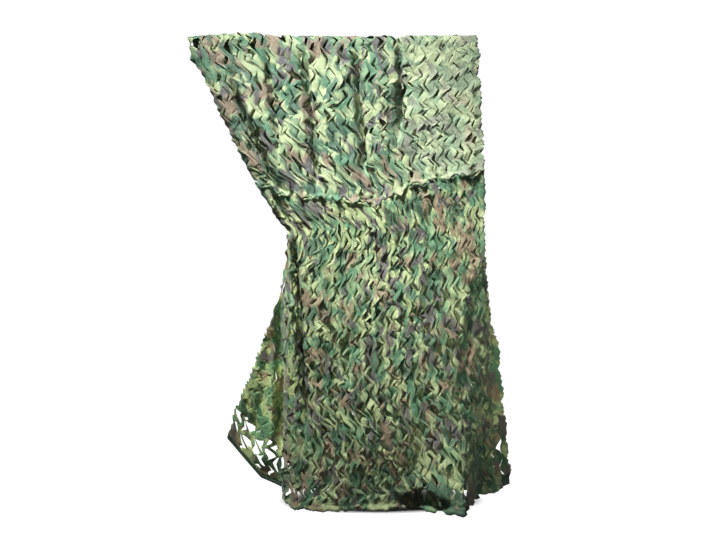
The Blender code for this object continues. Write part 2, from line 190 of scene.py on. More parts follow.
def fold_line(fold, drop):
    """Where the bottom of a fold is at a level."""
    share = np.clip((drop - fold.start) / (fold.end - fold.start), 0.0, 1.0)
    return fold.x_start + (fold.x_end - fold.x_start) * share + fold.bow * np.sin(pi * share)


def fold_shape(folds, seam, x, drop):
    """Depth of all the folds of a layer at points x of a level, and how far they lean aside."""
    depth = np.zeros_like(x)
    aside = np.zeros_like(x)
    for fold in folds:
        fade = smooth(fold.start, fold.start + FOLD_FADE, drop)
        fade = fade * (1.0 - smooth(fold.end - FOLD_FADE, fold.end, drop))
        steepness = 4 if abs(fold.depth) > SLOT_DEPTH else 2
        from_bottom = np.abs((x - fold_line(fold, drop)) / fold.width)
        own = fold.depth * fade * np.exp(-(from_bottom ** steepness))
        depth += own
        aside += fold.lean * own
    free = 1.0 - SEAM_HOLD * np.exp(-(((drop - from_pairs(seam, x)) / SEAM_REACH) ** 2))
    return depth * free, aside * free


def rumple(x, drop):
    """Small unevenness of limp cloth, none at the crest."""
    waves = np.sin(21.0 * x + 5.0 * drop) * np.sin(17.0 * drop - 6.0 * x)
    waves = waves + 0.6 * np.sin(47.0 * x - 13.0 * drop) * np.cos(31.0 * drop + 9.0 * x)
    return RUMPLE_HEIGHT * waves * smooth(0.03, 0.25, drop)


def tuck(x, drop):
    """How far the foot of the front is tucked in; negative where the lip stands out."""
    under_brow = drop + BROW_HEIGHT * np.sin(BROW_PITCH * x)
    inward = smooth(*TUCK_TOP, under_brow) * (1.0 - TUCK_RELEASE * smooth(*TUCK_FOOT, drop))
    lip = smooth(*LIP_TOP, under_brow) * (1.0 - smooth(*LIP_FOOT, under_brow))
    within = smooth(*TUCK_LEFT_END, x) * (1.0 - smooth(*TUCK_RIGHT_END, x))
    return within * (TUCK_DEPTH * inward - LIP_HEIGHT * lip)


def front_line(drop):
    """Plan of the front layer at a level, from its left edge to its right edge."""
    left = from_levels("front_left", drop)
    right = from_levels("front_right", drop)
    x = np.linspace(left, right, LINE_POINTS)
    depth, aside = fold_shape(FRONT_FOLDS, FRONT_SEAM, x, drop)
    y = depth - from_levels("front_out", drop) + rumple(x, drop)
    from_edge = np.clip((x - left) / EDGE_CURL_WIDTH, 0.0, 1.0)
    y += from_pairs(EDGE_CURL, drop) * (1.0 - from_edge) ** 2
    valley = fold_line(FRONT_FOLDS[-1], drop)
    past_valley = np.clip((x - valley) / max(right - valley, SIDE_TURN_LEAST), 0.0, 1.0)
    y += from_pairs(SIDE_TURN, drop) * past_valley ** SIDE_TURN_POWER
    sway = smooth(HEM_SWAY_START, HEM_DROP, drop)
    y = y * (1.0 - sway) + from_pairs(FRONT_HEM, x) * sway
    return x + aside, y + tuck(x, drop)


def back_line(drop):
    """Plan of the back layer at a level, from its left edge to its right edge."""
    left = from_levels("back_left", drop)
    right = from_levels("back_right", drop)
    x = np.linspace(left, right, LINE_POINTS)
    depth, aside = fold_shape(BACK_FOLDS, BACK_SEAM, x, drop)
    return x + aside, from_levels("back_out", drop) - depth + rumple(x + 0.37, drop)


def plan_of_layer(line):
    """A layer's x and y on its levels, at equal shares of the cloth across it.

    A fold takes up FOLD_TAKE_UP of its depth in cloth and stretches the open net for the rest.
    """
    shares = np.linspace(0.0, 1.0, SHARE_COUNT + 1)
    plan = np.empty((2, LEVEL_COUNT + 1, SHARE_COUNT + 1))
    for row, drop in enumerate(np.linspace(0.0, HEM_DROP, LEVEL_COUNT + 1)):
        x, y = line(drop)
        spans = np.hypot(np.diff(x), FOLD_TAKE_UP * np.diff(y))
        cloth = np.concatenate(([0.0], np.cumsum(spans)))
        plan[0, row] = np.interp(shares, cloth / cloth[-1], x)
        plan[1, row] = np.interp(shares, cloth / cloth[-1], y)
    return plan


FRONT = plan_of_layer(front_line)
BACK = plan_of_layer(back_line)


def read_plan(plan, across, drop):
    """x and y of a layer at shares across the cloth and levels, both arrays."""
    column = np.clip(across, 0.0, 1.0) * SHARE_COUNT
    row = np.clip(drop / HEM_DROP, 0.0, 1.0) * LEVEL_COUNT
    left = np.minimum(column.astype(int), SHARE_COUNT - 1)
    upper = np.minimum(row.astype(int), LEVEL_COUNT - 1)
    aside = column - left
    down = row - upper
    top = plan[:, upper, left] * (1.0 - aside) + plan[:, upper, left + 1] * aside
    bottom = plan[:, upper + 1, left] * (1.0 - aside) + plan[:, upper + 1, left + 1] * aside
    return top * (1.0 - down) + bottom * down


def level_of(across, run, plan, seam, hem_lift):
    """Level below the crest, with the seam's sag and the hem's lift."""
    length = np.abs(run)
    drop = RAIL_RADIUS + length - QUARTER
    x_at_seam = read_plan(plan, across, np.full_like(across, SEAM_DROP))[0]
    sag = from_pairs(seam, x_at_seam) - SEAM_DROP
    above = (drop - RAIL_RADIUS) / (SEAM_DROP - RAIL_RADIUS)
    below = (HEM_DROP - drop) / (HEM_DROP - SEAM_DROP)
    level = drop + sag * np.clip(np.minimum(above, below), 0.0, 1.0)
    level -= from_pairs(hem_lift, across) * smooth(LIFT_START, HEM_DROP, drop)
    bend = RAIL_RADIUS * (1.0 - np.cos(np.minimum(length, QUARTER) / RAIL_RADIUS))
    return np.where(length < QUARTER, bend, level)


def drape(across, run):
    """Places in space of points of the net, given by share across and length from the crest."""
    behind = run > 0.0
    front_level = level_of(across, run, FRONT, FRONT_SEAM, FRONT_HEM_LIFT)
    back_level = level_of(across, run, BACK, BACK_SEAM, BACK_HEM_LIFT)
    level = np.where(behind, back_level, front_level)
    x, y = np.where(behind, read_plan(BACK, across, level), read_plan(FRONT, across, level))
    y = np.where(np.abs(run) < QUARTER, RAIL_RADIUS * np.sin(run / RAIL_RADIUS), y)
    rise = from_pairs(CREST_RISE, across) * (1.0 - smooth(0.0, CREST_REACH, level))
    return np.stack((x, y, rise - level), axis=1)


def directions(across, run):
    """Unit vectors across the cloth and out of it, away from the rail."""
    near_share = 0.010
    near_run = 0.006
    low = np.clip(across - near_share, 0.0, 1.0)
    high = np.clip(across + near_share, 0.0, 1.0)
    aside = drape(high, run) - drape(low, run)
    along = drape(across, run + near_run) - drape(across, run - near_run)
    outward = np.cross(aside, along)
    aside /= np.linalg.norm(aside, axis=1, keepdims=True)
    outward /= np.linalg.norm(outward, axis=1, keepdims=True)
    return aside, outward


# The cut pattern: ribbons side by side, each a zigzag, parted by chevron slits that point right
# on one line and left on the next, half a repeat lower. Fades are counted in rows of the cuts.
FLAT_WIDTH = 1.30
HUNG_WIDTH = 1.18
RIBBONS = 40
STEPS_ACROSS = 4
COLUMNS = RIBBONS * STEPS_ACROSS
STEPS_ALONG = 12
REPEAT = 0.066
SLIT_REACH = 5
ZIGZAG = 0.0120
EDGE_ZIGZAG = 0.35
ZIGZAG_FADE = 5.0
CLOTH_THICKNESS = 0.0008

# Each slit has its own gape, lift of its tongue, dip of its notch, droop and heavier arm, and
# the ribbons sway and their lines stray. Pairs are a middle and a spread, and the gape's are of
# its logarithm. The powers round a slit off along it and across its ribbons.
GAPE_SPREAD = (-0.10, 0.60)
WIDEST_GAPE = 0.036
TONGUE = (0.0064, 0.0044)
NOTCH = (-0.0025, 0.0025)
DROOP = (0.0020, 0.0030)
HEAVY_ARM = 1.1
SWAY = 0.0034
STRAY = 0.0034
EDGE_STRAY = 1.3
SLIT_POWER = 0.8
RIBBON_POWER = 1.5
ARM_LIMITS = (0.1, 1.8)

# The share of their lift that leaves keep near the crest, how much less on it, and the share that
# they keep from BACK_START behind.
UPPER_LIFT = 0.80
CREST_FLATTEN = 0.50
CREST_HALF = 0.05
BACK_START = 0.10
BACK_LIFT = 0.45

# The rows of cuts hang unevenly. The cloth is bunched along the seams, which wander a little, and
# the rolls along them are lumpy. Waves are a height, a pitch, and a climb or a start.
UNEVEN = ((0.010, 2.3, 1.1), (0.008, 4.7, -2.3), (0.008, 9.1, 3.7), (0.006, 17.3, -5.9))
UNEVEN_FADE = 12.0
SEAM_WAVES = ((0.0060, 9.5, 1.3), (0.0045, 18.5, 4.1), (0.0030, 41.0, 2.2))
CREASE_REACH = 0.022
CREASE_DEPTH = 0.0045
ROLL_LUMPS = 0.80
ROLL_LIMIT = 2.6
ROLL_WANDER = 0.0035
ROLL_AT_EDGE = 0.2
ROLL_EDGE_WIDTH = 0.07
BUNCH_SCALE = 1.8

# How far the plain selvedge reaches up in the back's right corner.
CORNER_DEPTH = 0.045

# A row is given by its length from the crest, negative in front, how far it stands out, its step
# within the cuts, which an uncut row lacks, and whether it may show plain.
Row = namedtuple("Row", "run out step plain")
Net = namedtuple("Net", "column share ribbon part run out step cut plain last")
Chances = namedtuple("Chances", "gape tongue notch droop arm bunch sway stray")


def net_rows(low, high):
    """Rows of the cut cloth between two lengths; step counts them within the cut pattern."""
    count = round((high - low) / REPEAT) * STEPS_ALONG
    return [Row(low + (high - low) * step / count, 0.0, step, False) for step in range(count + 1)]


def edge_rows(edge, inward, heights, plain):
    """Uncut rows from an edge of the strip inwards, each with how far it stands out."""
    return [Row(edge + inward * rise, out, None, plain) for rise, out in heights]


def zigzag_at(step):
    """The ribbons' zigzag at a row: 1 at the slits of even lines and -1 at those of odd ones."""
    return 1.0 - 4.0 * abs((step % STEPS_ALONG) / STEPS_ALONG - 0.5)


def nearest_slit(line, step):
    """Number and middle step of the slit of a line that is nearest to a row."""
    first = np.where(line % 2 == 0, STEPS_ALONG // 2, 0)
    number = np.round((step - first) / STEPS_ALONG).astype(int)
    return number, first + STEPS_ALONG * number


def cut_grid(rows, last):
    """A flat grid of the strip's columns and rows, slit along the lines between its ribbons."""
    mesh = bmesh.new()
    bmesh.ops.create_grid(mesh, x_segments=COLUMNS, y_segments=len(rows) - 1, size=1.0)
    column_of = mesh.verts.layers.int.new("column")
    row_of = mesh.verts.layers.int.new("row")
    for vert in mesh.verts:
        vert[column_of] = round((vert.co.x + 1.0) / 2.0 * COLUMNS)
        vert[row_of] = round((vert.co.y + 1.0) / 2.0 * (len(rows) - 1))
    slits = []
    for edge in mesh.edges:
        first, second = edge.verts
        line, off_line = divmod(first[column_of], STEPS_ACROSS)
        ends = rows[first[row_of]].step, rows[second[row_of]].step
        if off_line or first[column_of] != second[column_of]:
            continue
        if line in (0, RIBBONS) or None in ends:
            continue
        centre = nearest_slit(line, sum(ends) / 2.0)[1]
        within = max(abs(end - centre) for end in ends) <= SLIT_REACH
        if within and SLIT_REACH <= centre <= last - SLIT_REACH:
            slits.append(edge)
    bmesh.ops.split_edges(mesh, edges=slits)
    return mesh


def places_in_net(mesh, rows, last):
    """Where each vertex of the cut grid is in the strip and in its ribbon, as arrays."""
    column_of = mesh.verts.layers.int["column"]
    row_of = mesh.verts.layers.int["row"]
    column = np.array([vert[column_of] for vert in mesh.verts])
    row = np.array([vert[row_of] for vert in mesh.verts])
    beside = np.array([
        np.mean([near[column_of] for face in vert.link_faces for near in face.verts])
        for vert in mesh.verts
    ])
    ribbon = np.clip(np.floor(beside / STEPS_ACROSS).astype(int), 0, RIBBONS - 1)
    return Net(
        column=column,
        share=column / COLUMNS,
        ribbon=ribbon,
        part=column / STEPS_ACROSS - ribbon,
        run=np.array([one.run for one in rows])[row],
        out=np.array([one.out for one in rows])[row],
        step=np.array([one.step or 0 for one in rows])[row],
        cut=np.array([one.step is not None for one in rows])[row],
        plain=np.array([one.plain for one in rows])[row],
        last=last,
    )


def draw_chances(seed, last):
    """The strip's random amounts: for each slit, for each column and for each half repeat."""
    random = np.random.default_rng(seed)
    count = last // STEPS_ALONG + 3
    slits = (RIBBONS + 1, count)
    halves = 2 * count + 2
    chances = Chances(
        gape=random.lognormal(*GAPE_SPREAD, slits),
        tongue=random.normal(*TONGUE, slits),
        notch=random.normal(*NOTCH, slits),
        droop=random.normal(*DROOP, slits),
        arm=random.uniform(-HEAVY_ARM, HEAVY_ARM, slits),
        bunch=random.normal(0.0, 1.0, COLUMNS + 3),
        sway=random.normal(0.0, SWAY, (RIBBONS + 2, halves)),
        stray=random.normal(0.0, STRAY, (RIBBONS + 1, halves)),
    )
    chances.stray[[0, RIBBONS]] *= EDGE_STRAY
    return chances


def down_ribbon(amounts, ribbon, step):
    """Straight-line reading of amounts that are given for each ribbon and half repeat."""
    half = step * 2.0 / STEPS_ALONG
    before = half.astype(int)
    after = half - before
    return amounts[ribbon, before] * (1.0 - after) + amounts[ribbon, before + 1] * after


def from_ends(net, reach):
    """0 on the uncut rows and at the first and last cut row, and 1 from `reach` steps on."""
    inwards = np.clip(np.minimum(net.step, net.last - net.step) / reach, 0.0, 1.0)
    return np.where(net.cut, inwards, 0.0)


def slide_of(net, stray):
    """How far the ribbons' zigzag and the straying of their lines shift the net aside."""
    at_edge = (net.column == 0) | (net.column == COLUMNS)
    edge_zigzag = EDGE_ZIGZAG * zigzag_at(2 * net.step)
    slide = ZIGZAG * np.where(at_edge, edge_zigzag, zigzag_at(net.step))
    line_left = down_ribbon(stray, net.ribbon, net.step)
    line_right = down_ribbon(stray, net.ribbon + 1, net.step)
    slide += line_left * (1.0 - net.part) + line_right * net.part
    return slide * from_ends(net, ZIGZAG_FADE)


def lift_of(run):
    """The share of their lift that leaves keep: least on the crest, and about half behind."""
    lift = UPPER_LIFT + (1.0 - UPPER_LIFT) * smooth(0.35, 0.60, -run)
    lift -= CREST_FLATTEN * np.exp(-((run / CREST_HALF) ** 2))
    return np.where(run > BACK_START, BACK_LIFT, lift)


def open_leaves(net, gape_of, chances):
    """How far the open slits move the net aside, out of the cloth and down it."""
    shift = np.zeros_like(net.run)
    out = np.zeros_like(net.run)
    down = np.zeros_like(net.run)
    for side in (0, 1):
        line = net.ribbon + side
        number, centre = nearest_slit(line, net.step)
        slit = line, np.clip(number, 0, chances.gape.shape[1] - 1)
        place = (net.step - centre) / (SLIT_REACH + 0.5)
        real = net.cut & (centre >= SLIT_REACH) & (centre <= net.last - SLIT_REACH)
        real &= (line > 0) & (line < RIBBONS)
        profile = np.where(real, np.clip(1.0 - np.abs(place), 0.0, 1.0) ** SLIT_POWER, 0.0)
        profile *= np.clip(1.0 + chances.arm[slit] * place * 2.0, *ARM_LIMITS)
        weight = profile * (net.part if side else 1.0 - net.part) ** RIBBON_POWER
        wide = np.minimum(gape_of(net.share, net.run) * chances.gape[slit], WIDEST_GAPE)
        shift += (-0.5 if side else 0.5) * wide * weight
        tongues = (line % 2 == 0) == (side == 1)
        lift = np.where(tongues, chances.tongue[slit], chances.notch[slit]) * lift_of(net.run)
        out += lift * weight
        down += np.where(tongues, chances.droop[slit], 0.0) * weight
    lean = down_ribbon(chances.sway, net.ribbon, net.step) * (net.part - 0.5) * 2.0
    out += np.where(net.cut, lean, 0.0) * lift_of(net.run)
    return shift, out, down


def hang_unevenly(net, seed):
    """How far down the cloth the rows of cuts wander; the seed sets where the waves start."""
    down = np.zeros_like(net.run)
    for height, pitch, climb in UNEVEN:
        down += height * np.sin(2.0 * pi * (pitch * net.share + climb * net.run) + seed)
    return down * from_ends(net, UNEVEN_FADE)


def gather(net, curled, bunch, out):
    """How far out and down the cloth lies with the bunching along its seams.

    It lumps the strip's rolls, those at its foot too where that is curled, and creases the net
    beside a seam.
    """
    bunch = (bunch[:-2] + bunch[1:-1] + bunch[2:])[net.column] / BUNCH_SCALE
    rolled = ~net.cut & (~net.plain | curled)
    roll = np.clip(1.0 + ROLL_LUMPS * bunch, 0.0, ROLL_LIMIT)
    roll *= ROLL_AT_EDGE + (1.0 - ROLL_AT_EDGE) * smooth(0.0, ROLL_EDGE_WIDTH, net.share)
    near_seam = np.exp(-np.abs(np.abs(net.run) - SEAM_RUN) / CREASE_REACH)
    out = np.where(rolled, out * roll, out)
    out += np.where(net.plain, 0.0, CREASE_DEPTH * bunch * near_seam)
    down = np.where(rolled, ROLL_WANDER * bunch, 0.0)
    for height, pitch, start in SEAM_WAVES:
        down += height * np.sin(2.0 * pi * pitch * net.share + start) * near_seam
    return out, down


def net_strip(name, rows, seed, gape_of, bare=(0.0, 1.0), corner=2.0):
    """A strip of leaf-cut net on the drape; gape_of gives how wide its slits stand, in metres.

    Its plain selvedge shows from one share across to the other of `bare`, and reaches further
    up past the share `corner`.
    """
    last = max(row.step for row in rows if row.step is not None)
    mesh = cut_grid(rows, last)
    net = places_in_net(mesh, rows, last)
    chances = draw_chances(seed, last)
    slide = slide_of(net, chances.stray)
    shift, leaves_out, leaves_down = open_leaves(net, gape_of, chances)
    out, seam_down = gather(net, bare[0] > 0.0, chances.bunch, net.out + leaves_out)
    down = leaves_down + hang_unevenly(net, seed) + seam_down

    across = net.share + (slide + shift) / HUNG_WIDTH
    inside = np.clip(across, 0.0, 1.0)
    past_edge = (across - inside) * HUNG_WIDTH
    towards_foot = np.where(net.run > 0.0, 1.0, -1.0)
    aside, outward = directions(inside, net.run)
    places = drape(inside, net.run + down * towards_foot)
    places += outward * out[:, None] + aside * past_edge[:, None]
    for vert, place in zip(mesh.verts, places):
        vert.co = place

    shows_bare = net.plain & (net.share >= bare[0]) & (net.share <= bare[1])
    shows_bare |= (net.share >= corner) & (np.abs(net.run) > HEM_RUN - CORNER_DEPTH)
    print_u = net.share * FLAT_WIDTH + slide
    mesh.verts.index_update()
    cloth = mesh.loops.layers.uv.new("cloth")
    for face in mesh.faces:
        face.smooth = True
        face.material_index = 1 if any(shows_bare[vert.index] for vert in face.verts) else 0
        for loop in face.loops:
            loop[cloth].uv = (print_u[loop.vert.index], net.run[loop.vert.index])
    mesh.normal_update()
    if sum(outward[face.verts[0].index] @ np.array(face.normal) for face in mesh.faces) < 0.0:
        bmesh.ops.reverse_faces(mesh, faces=mesh.faces[:])
    data = bpy.data.meshes.new(name)
    mesh.to_mesh(data)
    mesh.free()
    strip = bpy.data.objects.new(name, data)
    bpy.context.scene.collection.objects.link(strip)
    thick = strip.modifiers.new("cloth thickness", "SOLIDIFY")
    thick.thickness = CLOTH_THICKNESS
    thick.offset = 0.0
    thick.material_offset = 2
    return strip


# The patches of the woodland print, from the lowest up: colour, scale, the height of their noise
# at which they start, softness of their edges, and own place. They lie on GROUND, and near the
# cloth's right edge a painted highlight pales the print towards a lighter green.
Patch = namedtuple("Patch", "colour scale start soft place")
PRINT = (
    Patch((0.086, 0.195, 0.094), 10.8, 0.490, 0.030, 1.3),
    Patch((0.178, 0.280, 0.128), 18.0, 0.565, 0.030, 7.9),
    Patch((0.226, 0.185, 0.104), 13.0, 0.560, 0.028, 4.1),
    Patch((0.326, 0.400, 0.176), 19.5, 0.585, 0.025, 9.7),
    Patch((0.101, 0.100, 0.080), 14.5, 0.590, 0.022, 6.2),
    Patch((0.058, 0.120, 0.062), 16.0, 0.590, 0.025, 2.6),
)
GROUND = (0.320, 0.386, 0.176)
# Colour of the painted highlight, and where across the cloth it starts and is full.
PAINTED_HIGHLIGHT = (0.500, 0.590, 0.310)
PAINTED_HIGHLIGHT_START = 0.85
PAINTED_HIGHLIGHT_END = 1.05


def cloth_material(name, roughness):
    """A new material, with its shader and the socket of the cloth's own flat layout."""
    material = bpy.data.materials.new(name)
    material.use_nodes = True
    shader = material.node_tree.nodes["Principled BSDF"]
    shader.inputs["Roughness"].default_value = roughness
    cloth = material.node_tree.nodes.new("ShaderNodeUVMap")
    cloth.uv_map = "cloth"
    return material, shader, cloth.outputs["UV"]


def noise(material, place, scale, detail):
    """A noise pattern at a place socket."""
    pattern = material.node_tree.nodes.new("ShaderNodeTexNoise")
    pattern.inputs["Scale"].default_value = scale
    pattern.inputs["Detail"].default_value = detail
    material.node_tree.links.new(place, pattern.inputs["Vector"])
    return pattern


def ramp(material, value, start, end, top=1.0):
    """The socket of an amount that climbs from 0 to `top` as a value goes from start to end."""
    climb = material.node_tree.nodes.new("ShaderNodeMapRange")
    climb.inputs["From Min"].default_value = start
    climb.inputs["From Max"].default_value = end
    climb.inputs["To Max"].default_value = top
    material.node_tree.links.new(value, climb.inputs["Value"])
    return climb.outputs["Result"]


def lay_over(material, below, colour, share):
    """The socket of a colour laid over the one below it by a share socket."""
    layer = material.node_tree.nodes.new("ShaderNodeMix")
    layer.data_type = "RGBA"
    layer.inputs["B"].default_value = tuple(colour) + (1.0,)
    material.node_tree.links.new(share, layer.inputs["Factor"])
    material.node_tree.links.new(below, layer.inputs["A"])
    return layer.outputs["Result"]


def relief(material, pattern, strength, distance):
    """A bump that follows the heights of a pattern."""
    bump = material.node_tree.nodes.new("ShaderNodeBump")
    bump.inputs["Strength"].default_value = strength
    bump.inputs["Distance"].default_value = distance
    material.node_tree.links.new(pattern.outputs["Fac"], bump.inputs["Height"])
    return bump


def woodland(name, shift, tint, wear_and_painted_highlight=0.0):
    """Printed woodland camouflage, in patches that follow the cloth, on a fine plain weave.

    A painted highlight pales the print near the cloth's right edge, by the last argument's share.
    """
    material, shader, cloth = cloth_material(name, 0.60)
    nodes = material.node_tree.nodes
    links = material.node_tree.links
    shader.inputs["Specular IOR Level"].default_value = 0.35
    shader.inputs["Sheen Weight"].default_value = 0.15
    shader.inputs["Sheen Roughness"].default_value = 0.5
    moved = nodes.new("ShaderNodeMapping")
    moved.inputs["Location"].default_value = shift
    links.new(cloth, moved.inputs["Vector"])
    place = moved.outputs["Vector"]
    warped = nodes.new("ShaderNodeMix")
    warped.data_type = "VECTOR"
    warped.inputs["Factor"].default_value = 0.040
    links.new(place, warped.inputs["A"])
    wander = noise(material, place, scale=30.0, detail=2.0)
    links.new(wander.outputs["Color"], warped.inputs["B"])

    ground = nodes.new("ShaderNodeRGB")
    ground.outputs[0].default_value = tuple(np.multiply(tint, GROUND)) + (1.0,)
    printed = ground.outputs[0]
    for layer in PRINT:
        patch = noise(material, warped.outputs["Result"], scale=layer.scale, detail=2.5)
        patch.noise_dimensions = "4D"
        patch.inputs["W"].default_value = layer.place
        patch.inputs["Roughness"].default_value = 0.45
        patch.inputs["Distortion"].default_value = 0.3
        edge_start = layer.start - layer.soft
        edge_end = layer.start + layer.soft
        inked = ramp(material, patch.outputs["Fac"], edge_start, edge_end)
        printed = lay_over(material, printed, np.multiply(tint, layer.colour), inked)
    # Painted highlight: the print turns paler towards the cloth's right edge.
    flat_place = nodes.new("ShaderNodeSeparateXYZ")
    links.new(cloth, flat_place.inputs["Vector"])
    painted_highlight_share = ramp(material, flat_place.outputs["X"], PAINTED_HIGHLIGHT_START, PAINTED_HIGHLIGHT_END, wear_and_painted_highlight)
    highlighted_print = lay_over(material, printed, np.multiply(tint, PAINTED_HIGHLIGHT), painted_highlight_share)
    links.new(highlighted_print, shader.inputs["Base Color"])

    creases = noise(material, place, scale=85.0, detail=2.0)
    crumple = relief(material, creases, strength=0.7, distance=0.006)
    weave = noise(material, place, scale=260.0, detail=3.0)
    threads = relief(material, weave, strength=0.5, distance=0.0015)
    links.new(crumple.outputs["Normal"], threads.inputs["Normal"])
    links.new(threads.outputs["Normal"], shader.inputs["Normal"])
    return material


def plain_cloth(name, colour, roughness):
    """Cloth of one colour, a little uneven where its dye wears off."""
    material, shader, cloth = cloth_material(name, roughness)
    links = material.node_tree.links
    wear = noise(material, cloth, scale=60.0, detail=4.0)
    shade = material.node_tree.nodes.new("ShaderNodeValToRGB")
    shade.color_ramp.elements[0].position = 0.3
    shade.color_ramp.elements[0].color = tuple(0.65 * part for part in colour) + (1.0,)
    shade.color_ramp.elements[1].position = 0.7
    shade.color_ramp.elements[1].color = tuple(1.25 * part for part in colour) + (1.0,)
    links.new(wear.outputs["Fac"], shade.inputs["Fac"])
    links.new(shade.outputs["Color"], shader.inputs["Base Color"])
    wear_and_painted_highlight = relief(material, wear, strength=0.4, distance=0.001)
    links.new(wear_and_painted_highlight.outputs["Normal"], shader.inputs["Normal"])
    return material


FRONT_GAPE = 0.0080
WIDER_AT_FOOT = 0.0070
NARROWER_AT_HEM = 0.0085


def front_gape(across, run):
    """Slits of the front stand wider towards the foot, and narrower again above its hem."""
    wider = WIDER_AT_FOOT * smooth(0.8, 1.4, -run)
    narrower = NARROWER_AT_HEM * smooth(1.66, 1.74, -run)
    return FRONT_GAPE + wider - narrower


# Uncut rows: how far each lies from the edge, and how far it stands out.
CURL_ROWS = (
    (0.014, -0.006), (0.006, -0.008), (0.000, -0.004), (0.000, 0.003), (0.006, 0.007), (0.014, 0.004),
)
SEAM_ROWS = (
    (0.004, -0.003), (0.000, 0.001), (0.0015, 0.005), (0.004, 0.007), (0.008, 0.0055), (0.012, 0.002),
)
HEM_UNCUT = 0.022
SEAM_UNCUT = 0.014
SEAM_OVERLAP = 0.001

WOODLAND_FRONT = woodland("woodland_front", (0.0, 0.0, 0.0), (1.03, 1.02, 1.10))
SELVEDGE = plain_cloth("selvedge_green", (0.045, 0.085, 0.050), 0.75)
REVERSE = woodland("woodland_reverse", (8.3, 2.2, 0.0), (0.92, 0.92, 0.85))

front_rows = edge_rows(-HEM_RUN, 1.0, CURL_ROWS, True)
front_rows += net_rows(-HEM_RUN + HEM_UNCUT, -SEAM_RUN - SEAM_UNCUT)
front_rows += edge_rows(-SEAM_RUN - SEAM_OVERLAP, -1.0, SEAM_ROWS, False)[::-1]
front_strip = net_strip("front_lower_net", front_rows, 11, front_gape, bare=(0.715, 0.775))
for material in (WOODLAND_FRONT, SELVEDGE, REVERSE, SELVEDGE):
    front_strip.data.materials.append(material)
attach(front_strip, "root")
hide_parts("front_lower_strip")

# ------------------------------------------------------------------ top strip
# The strip that passes over the rail at the crest and reaches down both sides to the two seams.
# It is the same leaf-cut printed polyester, its selvedges gathered into lumpy rolls at the seams.
TOP_SEAM_ROWS = (
    (0.002, -0.001), (-0.002, 0.003), (-0.003, 0.006), (0.000, 0.0085), (0.005, 0.0070), (0.011, 0.003),
)
# A gape below zero lets the two sides of a slit lie over each other.
TOP_GAPE = 0.0050
WIDER_BELOW = 0.0024
WIDER_ON_LEFT = 0.0035
NARROWER_ON_RIGHT = 0.0024
SHUT_GAPE = -0.0070


def top_gape(across, run):
    """In front, slits are widest high on the left and narrowest high on the right."""
    front = TOP_GAPE + WIDER_BELOW * smooth(0.1, 0.6, -run)
    high = 1.0 - smooth(0.20, 0.35, -run)
    front += WIDER_ON_LEFT * (1.0 - smooth(0.66, 0.76, across)) * high
    front -= NARROWER_ON_RIGHT * smooth(0.70, 0.78, across)
    return np.where(run > 0.0, SHUT_GAPE, front)


# The top strip carries the painted highlight, paler print near its right edge.
WOODLAND_TOP = woodland("woodland_top", (3.1, 1.7, 0.0), (0.96, 0.96, 1.15), wear_and_painted_highlight=0.32)

top_rows = edge_rows(-SEAM_RUN + SEAM_OVERLAP, 1.0, TOP_SEAM_ROWS, False)
top_rows += net_rows(-SEAM_RUN + SEAM_UNCUT, SEAM_RUN - SEAM_UNCUT)
top_rows += edge_rows(SEAM_RUN - SEAM_OVERLAP, -1.0, TOP_SEAM_ROWS, False)[::-1]
top_strip = net_strip("top_net", top_rows, 23, top_gape)
for material in (WOODLAND_TOP, SELVEDGE, REVERSE, SELVEDGE):
    top_strip.data.materials.append(material)
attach(top_strip, "root")
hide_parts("top_strip")

# ------------------------------------------------------------------ back lower strip
# The lowest strip behind, of the same net, hung from the back seam. Its two lower corners swing
# out at the sides and stand open as a lattice, with the plain selvedge along the foot.
HEM_ROWS = (
    (0.016, -0.0030), (0.008, -0.0034), (0.001, -0.0020), (0.0, 0.0), (0.007, 0.0012), (0.014, 0.0008),
)
CORNER_SHARE = 0.93
LEFT_CORNER_GAPE = 0.036
RIGHT_CORNER_GAPE = 0.020
CLOSED_GAPE = -0.0080


def back_gape(across, run):
    """Slits hang shut, but stand wide open in the lower corners, down to the plain cloth."""
    left = smooth(0.26, 0.20, across) * smooth(1.62, 1.68, run)
    right = smooth(CORNER_SHARE, 0.97, across) * smooth(1.60, 1.68, run)
    right *= 1.0 - smooth(HEM_RUN - 1.6 * CORNER_DEPTH, HEM_RUN - CORNER_DEPTH, run)
    return LEFT_CORNER_GAPE * left + RIGHT_CORNER_GAPE * right + CLOSED_GAPE


WOODLAND_BACK = woodland("woodland_back", (5.7, 4.4, 0.0), (1.0, 1.0, 0.97))
# Painted light: the back's reverse is printed far lighter than its cloth, so that its inner side, where
# it shows at the flanks, looks lit.
PAINTED_LIGHT_BACK_REVERSE = woodland("painted_light_woodland_back_reverse", (2.3, 6.1, 0.0), (1.62, 1.62, 1.52))

back_rows = edge_rows(SEAM_RUN + SEAM_OVERLAP, 1.0, SEAM_ROWS, False)
back_rows += net_rows(SEAM_RUN + SEAM_UNCUT, HEM_RUN - HEM_UNCUT)
back_rows += edge_rows(HEM_RUN, -1.0, HEM_ROWS, True)[::-1]
back_strip = net_strip("back_lower_net", back_rows, 37, back_gape, corner=CORNER_SHARE)
for material in (WOODLAND_BACK, SELVEDGE, PAINTED_LIGHT_BACK_REVERSE, SELVEDGE):
    back_strip.data.materials.append(material)
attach(back_strip, "root")
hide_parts("back_lower_strip")

# ------------------------------------------------------------------ stage, lights and camera
# A round pale floor at the level of the net's foot, swept up all round into a white backdrop. It
# glows, so that it stays white, except for the soft shadow under the net.
FLOOR_LEVEL = -1.824
SWEEP_FLOOR = 7.0
SWEEP_BEND = 1.5
SWEEP_HEIGHT = 7.0
BEND_LENGTH = SWEEP_BEND * pi / 2.0
SHADOW_PLACE = (0.185, 0.09, FLOOR_LEVEL)
SHADOW_SIZE = (0.42, 0.26, 1.0)
SHADOW_EDGE = 0.20

